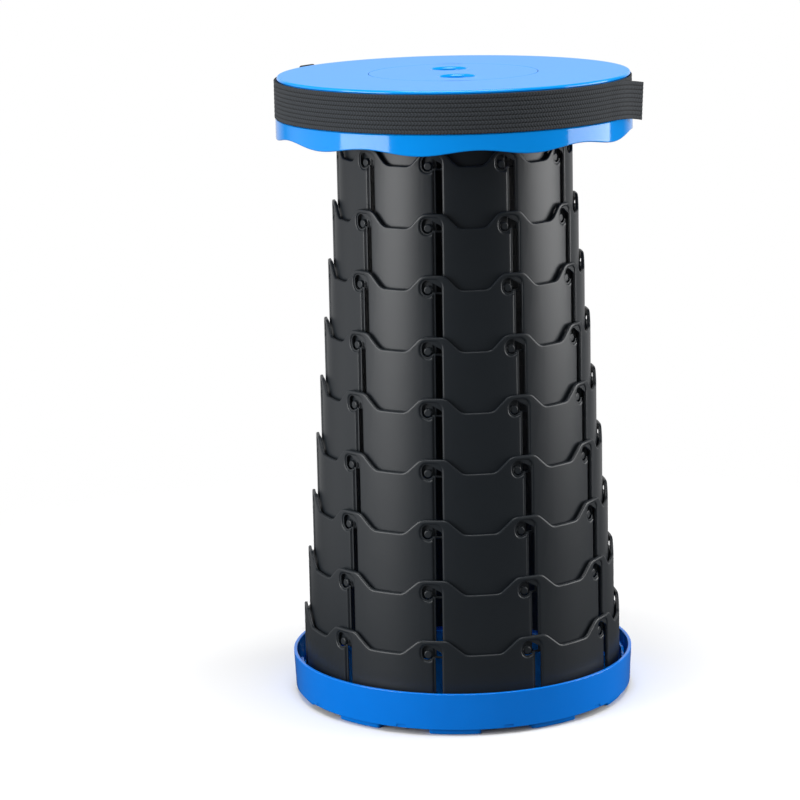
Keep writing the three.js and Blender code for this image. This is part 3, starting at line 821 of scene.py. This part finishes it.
# %% Seat shell
def seat_profile():
    inner = GROOVE_RADIUS - SKIRT_WALL
    return rounded([
        (OPENING_RADIUS, LEDGE_TOP, 0), (OPENING_RADIUS, SEAT_TOP, 0.35), (GROOVE_RADIUS, SEAT_TOP, 1.6),
        (GROOVE_RADIUS, LIP_BOTTOM, 0.3), (GROOVE_RADIUS - UNDERCUT, LIP_BOTTOM, 0.2),
        (GROOVE_RADIUS - UNDERCUT, LIP_BOTTOM - 2, 0.2), (GROOVE_RADIUS, LIP_BOTTOM - 3, 0.2),
        (GROOVE_RADIUS, SHOULDER, 0.3), (SKIRT_RADIUS, SHOULDER, 0.9), (SKIRT_RADIUS, SKIRT_SHORT, 0.9),
        (SKIRT_RADIUS - SKIRT_WALL, SKIRT_SHORT, 0.6), (SKIRT_RADIUS - SKIRT_WALL, SHOULDER, 0.4),
        (inner, SHOULDER + SKIRT_WALL, 0.4), (inner, UNDERSIDE, 0.8), (SPIGOT_RADIUS, UNDERSIDE, 0.5),
        (SPIGOT_RADIUS, SPIGOT_BOTTOM, 0.4), (SPIGOT_RADIUS - WALL, SPIGOT_BOTTOM, 0.4),
        (SPIGOT_RADIUS - WALL, UNDERSIDE, 0.5), (OPENING_RADIUS + LEDGE_RIM, UNDERSIDE, 0.3),
        (OPENING_RADIUS + LEDGE_RIM, LEDGE_BOTTOM, 0.3), (LEDGE_RADIUS, LEDGE_BOTTOM, 0.3),
        (LEDGE_RADIUS, LEDGE_TOP, 0.3)], 6)


def rib():
    bm = bmesh.new()
    bmesh.ops.create_cube(bm, size=1)
    start, end = OPENING_RADIUS + LEDGE_RIM - 1, SPIGOT_RADIUS - WALL / 2
    bmesh.ops.scale(bm, verts=bm.verts, vec=(end - start, RIB_WALL, RIB_DEPTH + 1))
    bevelled(bm, [edge for edge in bm.edges if all(vert.co.z < 0 for vert in edge.verts)], 0.4, 2)
    bmesh.ops.translate(bm, verts=bm.verts, vec=((start + end) / 2, 0, UNDERSIDE + 1 - (RIB_DEPTH + 1) / 2))
    bmesh.ops.rotate(bm, verts=bm.verts, cent=(0, 0, 0), matrix=Matrix.Rotation(radians(RING_PHASE), 3, "Z"))
    return bm


shell = spun(seat_profile(), SEAT_STEPS)
for vert in shell.verts:
    if vert.co.z < SKIRT_SHORT + 1 and vert.co.xy.length > SKIRT_RADIUS - SKIRT_WALL - 0.1:
        vert.co.z -= SKIRT_WAVE * (1 - crest(math.atan2(vert.co.y, vert.co.x)))
ribs_and_pegs = ten_times(with_peg(rib(), SPIGOT_RADIUS, SPIGOT_PEG))
piece("seat_moulding", join(shell, ribs_and_pegs), "seat", seat_plastic, "seat_blue", "seat_shell")

# %% [markdown]
# ## Cap
# A round cap closes the middle of the seat. It has two finger holes with rolled edges, each with
# a collar below, and four clips that snap under the ledge. The disc is a flat curve with two round
# holes. The collars are spun with the same number of steps as the holes, so they merge with them.

# %% Cap
CAP_RADIUS = 58.6
CAP_STEPS = 180
HOLE_RADIUS = 11.5
HOLE_SPACING = 52.8
HOLE_ROLL = 2.6
HOLE_MOUTH = HOLE_RADIUS + HOLE_ROLL
COLLAR_WALL = 2.0
COLLAR_DEPTH = 11.0
CAP_ANGLE = 95.0
HOLE_STEPS = 64
CLIP_WIDTH = 10.0
CLIP_THICK = 2.4
CLIP_GAP = 0.8
CLIP_HOOK = 1.3
CLIP_DEPTH = 2.4
hole_line = Vector((math.cos(radians(CAP_ANGLE)), math.sin(radians(CAP_ANGLE)), 0))
hole_centres = [hole_line * side * HOLE_SPACING / 2 for side in (-1, 1)]


def circle(x, y, radius, steps):
    return arc(x, y, radius, 0, 360 - 360 / steps, steps - 1)


def finger_collar(centre):
    bottom = SEAT_TOP - COLLAR_DEPTH
    profile = [(HOLE_MOUTH, UNDERSIDE, 0), (HOLE_MOUTH, SEAT_TOP, 0), (HOLE_RADIUS, SEAT_TOP, HOLE_ROLL),
               (HOLE_RADIUS, bottom, 0.6), (HOLE_RADIUS + COLLAR_WALL, bottom, 0.6),
               (HOLE_RADIUS + COLLAR_WALL, UNDERSIDE, 0.4)]
    outline = rounded(profile, 8)
    bm = spun(outline[1:] + outline[:1], HOLE_STEPS, closed=False)
    bmesh.ops.translate(bm, verts=bm.verts, vec=centre)
    return bm


def cap_disc():
    holes = [circle(spot.x, spot.y, HOLE_MOUTH, HOLE_STEPS) for spot in hole_centres]
    bm = plate([circle(0, 0, CAP_RADIUS, CAP_STEPS), *holes], UNDERSIDE, SEAT_TOP, 0)
    bevelled(bm, [edge for edge in bm.edges if edge.verts[0].co.z == edge.verts[1].co.z
                  and all(vert.co.xy.length > CAP_RADIUS - 0.01 for vert in edge.verts)], 0.3, 2)
    inside = [face for face in bm.faces
              if any(all(abs((vert.co.xy - spot.xy).length - HOLE_MOUTH) < 0.01 for vert in face.verts)
                     for spot in hole_centres)]
    bmesh.ops.delete(bm, geom=inside, context="FACES_ONLY")
    return bm


def clip():
    face, end, root = LEDGE_RADIUS - CLIP_GAP, LEDGE_BOTTOM - CLIP_DEPTH, UNDERSIDE + 1
    outline = rounded([(face - CLIP_THICK, end, 0.5), (face + CLIP_HOOK, end, 0.8),
                       (face + CLIP_HOOK, end + 1.0, 0.4), (face, end + 2.1, 0.3), (face, root, 0),
                       (face - CLIP_THICK, root, 0)], 3)
    bm = plate([outline], -CLIP_WIDTH / 2, CLIP_WIDTH / 2, 0.25)
    for turn, axis in ((90, "X"), (RING_PHASE + 45, "Z")):
        bmesh.ops.rotate(bm, verts=bm.verts, cent=(0, 0, 0), matrix=Matrix.Rotation(radians(turn), 3, axis))
    bmesh.ops.spin(bm, geom=everything(bm), cent=(0, 0, 0), axis=(0, 0, 1), steps=3, angle=1.5 * math.pi,
                   use_duplicate=True)
    return bm


cap = cap_disc()
for spot in hole_centres:
    join(cap, finger_collar(spot))
bmesh.ops.remove_doubles(cap, verts=cap.verts, dist=TOUCHING)
join(cap, clip())
bmesh.ops.recalc_face_normals(cap, faces=cap.faces)
piece("centre_cap_moulding", cap, "seat", seat_plastic, "seat_blue", "centre_cap")

# %% [markdown]
# ## Straps
# A strap starts as a flat grid that is given a second layer, so that it is a closed slab. Its
# columns are then laid along a path in plan and its rows across the strap. The rows are thicker
# over each rib and thin at the two edges. The same step writes the UV map that the weave follows.

# %% Strap helper
WEB_THICK = 0.95
WEB_EDGE = [(-1, 0.35), (-0.99, 0.75), (-0.97, 1.0)]
RIB_SHAPE = (0.55, 0.93, 1.0, 0.93)


def web_rows():
    rows = WEB_EDGE[:]
    for rib_number in range(RIBS):
        for step, thick in enumerate(RIB_SHAPE):
            if rib_number or step:
                rows.append((-1 + 2 * (rib_number + step / 4) / RIBS, thick))
    return rows + [(-across, thick) for across, thick in reversed(WEB_EDGE)]


def strap(path):
    rows, columns, half = web_rows(), len(path), WEB_WIDTH / 2
    bm = bmesh.new()
    bmesh.ops.create_grid(bm, x_segments=columns - 1, y_segments=len(rows) - 1, size=1)
    second = bmesh.ops.extrude_face_region(bm, geom=bm.faces[:])["geom"]
    for vert in second:
        if isinstance(vert, bmesh.types.BMVert):
            vert.co.z = 1
    lengths = [0.0]
    for here, there in zip(path, path[1:]):
        lengths.append(lengths[-1] + (there - here).length)
    layer = bm.verts.layers.float_vector.new("laid")
    for vert in bm.verts:
        column = round((vert.co.x + 1) / 2 * (columns - 1))
        across, thick = rows[round((vert.co.y + 1) / 2 * (len(rows) - 1))]
        side = 1 if vert.co.z > 0.5 else -1
        ahead = (path[min(column + 1, columns - 1)] - path[max(column - 1, 0)]).normalized()
        place = path[column] + Vector((-ahead.y, ahead.x)) * (side * thick * WEB_THICK / 2)
        vert.co = (place.x, place.y, across * half)
        vert[layer] = (lengths[column], across * half, 0)
    uv = bm.loops.layers.uv.new("UVMap")
    for face in bm.faces:
        for loop in face.loops:
            loop[uv].uv = loop.vert[layer].xy * MILLIMETRE
    bmesh.ops.recalc_face_normals(bm, faces=bm.faces)
    return bm


print("rows across a strap:", len(web_rows()))

# %% [markdown]
# ## Belt and handle strap
# The belt lies in the groove in two layers. The inner layer runs from the rivets almost round the
# seat to the buckle, turns round its middle bar, and comes back over itself as the outer layer,
# which ends in a free tail at the right. The handle strap comes along the rim from the handle,
# turns round the buckle's near bar and is riveted back on itself.

# %% Strap paths
INNER = 123.05
OUTER = 124.05
HANDLE_MIDDLE = 95.5
HANDLE_RIGHT = 83.024
HANDLE_LEFT = 107.976
TAIL_ANGLE = -33.0
TAIL_LENGTH = 45.0
TAIL_WAVE = 0.8
TAIL_TWIST = 1.2
TAIL_DROOP = 4.0
TAIL_STEPS = 16
BUCKLE_ANGLE = 144.0
BUCKLE_RADIUS = 127.8
BUCKLE_HALF = 8.7
BUCKLE_THICK = 2.4
BUCKLE_BAR = 2.6
BUCKLE_SLOT = 4.8
BUCKLE_RAMP = 14.0
LEAVE_ROUND = 20
RAMP_ROUND = 8
LAND_ROUND = 12
TURN_RADIUS = 0.85
FOLD_BACK = 15.0
UNDER = 125.75
OVER = 129.85
REACH_ANGLE = math.degrees((BUCKLE_HALF + BUCKLE_RAMP) / SKIRT_RADIUS)
WEB_DROP = 0.4


def around(radius, start, end):
    return arc(0, 0, radius, start, end, max(2, round(abs(end - start) / 2)))


def at_buckle(along, radius, corner=0):
    turn = radians(BUCKLE_ANGLE)
    return (radius * math.cos(turn) - along * math.sin(turn),
            radius * math.sin(turn) + along * math.cos(turn), corner)


def round_bar(along, side):
    edge, half = along + side * BUCKLE_BAR / 2, BUCKLE_THICK / 2
    under = arc(0, 0, TURN_RADIUS, -90, 0, 5)
    over = arc(0, 0, TURN_RADIUS, 0, 90, 5)
    return [*(at_buckle(edge + side * x, BUCKLE_RADIUS - half + y) for x, y, _ in under),
            *(at_buckle(edge + side * x, BUCKLE_RADIUS + half + y) for x, y, _ in over)]


def tail():
    turn = radians(TAIL_ANGLE)
    out, along = Vector((math.cos(turn), math.sin(turn))), Vector((-math.sin(turn), math.cos(turn)))
    spots = []
    for step in range(1, TAIL_STEPS + 1):
        share = step / TAIL_STEPS
        lift = TAIL_WAVE * math.sin(2 * math.pi * share)
        spots.append((*(out * (OUTER + lift) + along * share * TAIL_LENGTH), 0))
    return spots


def softened(corners):
    return [Vector(spot) for spot in rounded(corners, 4)]


def belt_path():
    turned = BUCKLE_ANGLE - 360
    inner = around(INNER, HANDLE_RIGHT, turned + REACH_ANGLE)
    outer = around(OUTER, turned + REACH_ANGLE, TAIL_ANGLE)
    return softened([*inner[:-1], (*inner[-1][:2], LEAVE_ROUND), at_buckle(BUCKLE_HALF, UNDER, RAMP_ROUND),
                     *round_bar(0, -1), at_buckle(BUCKLE_HALF, OVER, RAMP_ROUND),
                     (*outer[0][:2], LAND_ROUND), *outer[1:], *tail()])


def handle_strap_path():
    clear = BUCKLE_ANGLE - REACH_ANGLE
    inner = around(INNER, HANDLE_LEFT, clear)
    outer = around(OUTER, clear, clear - math.degrees(FOLD_BACK / SKIRT_RADIUS))
    return softened([*inner[:-1], (*inner[-1][:2], LEAVE_ROUND), at_buckle(-BUCKLE_HALF, UNDER, RAMP_ROUND),
                     *round_bar(-BUCKLE_HALF + BUCKLE_BAR / 2, 1), at_buckle(-BUCKLE_HALF, OVER, RAMP_ROUND),
                     (*outer[0][:2], LAND_ROUND), *outer[1:]])


print("belt points:", len(belt_path()), "handle strap points:", len(handle_strap_path()))

# %% Belt and handle strap
def strap_piece(name, bm, body, *nodes):
    bmesh.ops.translate(bm, verts=bm.verts, vec=(0, 0, BELT_MIDDLE - WEB_DROP))
    return piece(name, bm, body, webbing_cloth, "webbing", *nodes, sharp=60)


def with_twisted_tail(bm):
    # The upper corner of the free end reaches further than the lower one, and the whole end droops.
    turn = radians(TAIL_ANGLE)
    along = Vector((-math.sin(turn), math.cos(turn), 0))
    layer = bm.verts.layers.float_vector["laid"]
    end = max(vert[layer].x for vert in bm.verts)
    for vert in bm.verts:
        reach = 1 - (end - vert[layer].x) / TAIL_LENGTH
        if reach > 0:
            vert.co += along * TAIL_TWIST * reach ** 3 * 2 * vert.co.z / WEB_WIDTH
            vert.co.z -= TAIL_DROOP * reach ** 2
    return bm


strap_piece("belt_strap", with_twisted_tail(strap(belt_path())), "seat", "belt_webbing")
strap_piece("handle_strap_end", strap(handle_strap_path()), "seat", "handle_strap")

# %% [markdown]
# ## Carry handle
# The handle is a loop of the same webbing at the back of the seat. Its right foot lies flat on the
# belt under two rivets. There the strap folds back on itself, leaves the rim, and hangs down a
# little. It is drawn flat, then each part of it is tilted by how far out it is. Near its feet it
# bends between the seat and the lifted handle, as cloth does.

# %% Handle
HANDLE_HEIGHT = 65.0
HANDLE_WIDTH = 72.0
HINGE_RADIUS = 123.843
DROOP = 30.0
FOOT_PAST = 2.0
FOOT_STRAP = 14.0
BEND_LENGTH = 20
LEG_SHARES = [(0.78, 0.1), (0.86, 0.24), (0.95, 0.4), (0.98, 0.58), (0.93, 0.75), (0.75, 0.89), (0.42, 0.975)]
RIGHT_FOLD = [(24.2, -0.9), (24.9, 0.3), (26.6, 2.6)]
LEFT_FOOT = [(-27.4, 2.4), (-26.6, -0.6), (-25.4, -3.1)]


def smooth_path(points, steps):
    spots = [Vector(point) for point in points]
    path = []
    for before, start, end, after in zip(spots[:1] + spots, spots, spots[1:], spots[2:] + spots[-1:]):
        first, last = start + (end - before) / 6, end - (after - start) / 6
        for step in range(steps):
            t = step / steps
            path.append(start * (1 - t) ** 3 + first * 3 * t * (1 - t) ** 2 + last * 3 * t * t * (1 - t)
                        + end * t ** 3)
    return path + [spots[-1]]


def handle_path():
    # Right foot: flat on the belt, from its cut end to the fold.
    start = HANDLE_RIGHT + math.degrees(FOOT_PAST / SKIRT_RADIUS)
    foot_turns = [start - math.degrees(FOOT_STRAP / SKIRT_RADIUS) * (1 - step / 5) for step in range(6)]
    foot_spots = [(OUTER * math.sin(radians(HANDLE_MIDDLE - turn)),
                   OUTER * math.cos(radians(HANDLE_MIDDLE - turn)) - HINGE_RADIUS) for turn in foot_turns]
    half, crown = (HANDLE_WIDTH - WEB_THICK) / 2, HANDLE_HEIGHT - WEB_THICK / 2
    leg = [(x * half, y * crown) for x, y in LEG_SHARES]
    loop = leg + [(0, crown)] + [(-x, y) for x, y in reversed(leg)]
    return smooth_path(foot_spots + RIGHT_FOLD + loop + LEFT_FOOT, 5)


def drooped(bm):
    tilt = radians(DROOP)
    for vert in bm.verts:
        x, out, up = vert.co
        share = min(max(out / BEND_LENGTH, 0), 1)
        share = share * share * (3 - 2 * share)
        lean = tilt * share
        vert.co = (x, out * (1 - (1 - math.cos(tilt)) * share) + up * math.sin(lean),
                   -out * math.sin(tilt) * share + up * math.cos(lean))
    place = Matrix.Rotation(radians(HANDLE_MIDDLE - 90), 4, "Z") @ Matrix.Translation((0, HINGE_RADIUS, 0))
    bmesh.ops.transform(bm, verts=bm.verts, matrix=place)
    return bm


handle = strap_piece("carry_handle", drooped(strap(handle_path())), None, "handle_loop", "handle_foot")
hinge_out = Vector((math.cos(radians(HANDLE_MIDDLE)), math.sin(radians(HANDLE_MIDDLE)), 0))
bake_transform(handle)

# %% [markdown]
# ## Buckle and rivets
# The buckle is a flat frame with a middle bar, moulded with well rounded edges. The rivets are
# domed heads on short shanks. Two go through the belt and the handle's foot into the seat, and two
# close the fold of the handle strap.

# %% Buckle
BUCKLE_TALL = 14.8
BUCKLE_CORNER = 2.6


def facing(turn, radius, height):
    turn = radians(turn)
    along = Vector((-math.sin(turn), math.cos(turn), 0))
    out = Vector((math.cos(turn), math.sin(turn), 0))
    place = Matrix((along, Vector((0, 0, 1)), out)).transposed().to_4x4()
    place.translation = out * radius + Vector((0, 0, height))
    return place


def buckle():
    outlines = [(-BUCKLE_HALF, BUCKLE_HALF, BUCKLE_TALL, BUCKLE_CORNER)]
    for side in (-1, 1):
        left, right = sorted((side * BUCKLE_BAR / 2, side * (BUCKLE_BAR / 2 + BUCKLE_SLOT)))
        outlines.append((left, right, BUCKLE_TALL - BUCKLE_BAR, 1))
    frames = [rounded([(left, -tall, corner), (right, -tall, corner), (right, tall, corner),
                       (left, tall, corner)]) for left, right, tall, corner in outlines]
    bm = plate(frames, -BUCKLE_THICK / 2, BUCKLE_THICK / 2, 0.8, 3)
    bmesh.ops.transform(bm, verts=bm.verts, matrix=facing(BUCKLE_ANGLE, BUCKLE_RADIUS, BELT_MIDDLE))
    return bm


piece("strap_buckle_frame", buckle(), "seat", buckle_plastic, "buckle_black", "strap_buckle", sharp=40)

# %% Rivets
RIVET_HEAD = 4.0
RIVET_DOME = 1.5
RIVET_SHANK = 1.5
RIVET_FACE = 124.6
RIVET_SPACING = 12.0
foot_rivet = HANDLE_RIGHT + math.degrees((FOOT_PAST - FOOT_STRAP + RIVET_HEAD) / SKIRT_RADIUS)
fold_rivet = BUCKLE_ANGLE - REACH_ANGLE - math.degrees(FOLD_BACK / 2 / SKIRT_RADIUS)


def rivet(turn, height, end):
    depth = end - RIVET_FACE
    dome = [(RIVET_HEAD * math.cos(radians(step)), RIVET_DOME * (0.25 + 0.75 * math.sin(radians(step))))
            for step in range(0, 100, 10)]
    profile = [(0, depth), (RIVET_SHANK, depth), (RIVET_SHANK, 0), (RIVET_HEAD - 0.3, 0), (RIVET_HEAD, 0.15),
               *dome[:-1], (0, RIVET_DOME)]
    bm = spun(profile, 40, closed=False)
    bmesh.ops.transform(bm, verts=bm.verts, matrix=facing(turn, RIVET_FACE, height))
    return bm


rivet_spots = [(foot_rivet, GROOVE_RADIUS - SKIRT_WALL), (fold_rivet, INNER - WEB_THICK / 2)]
for number in range(4):
    turn, end = rivet_spots[number // 2]
    height = BELT_MIDDLE + RIVET_SPACING / 2 * (1 if number % 2 else -1)
    node = f"rivet_{number + 1}"
    piece(f"{node}_head", rivet(turn, height, end), "seat", rivet_metal, "rivet_steel", node)
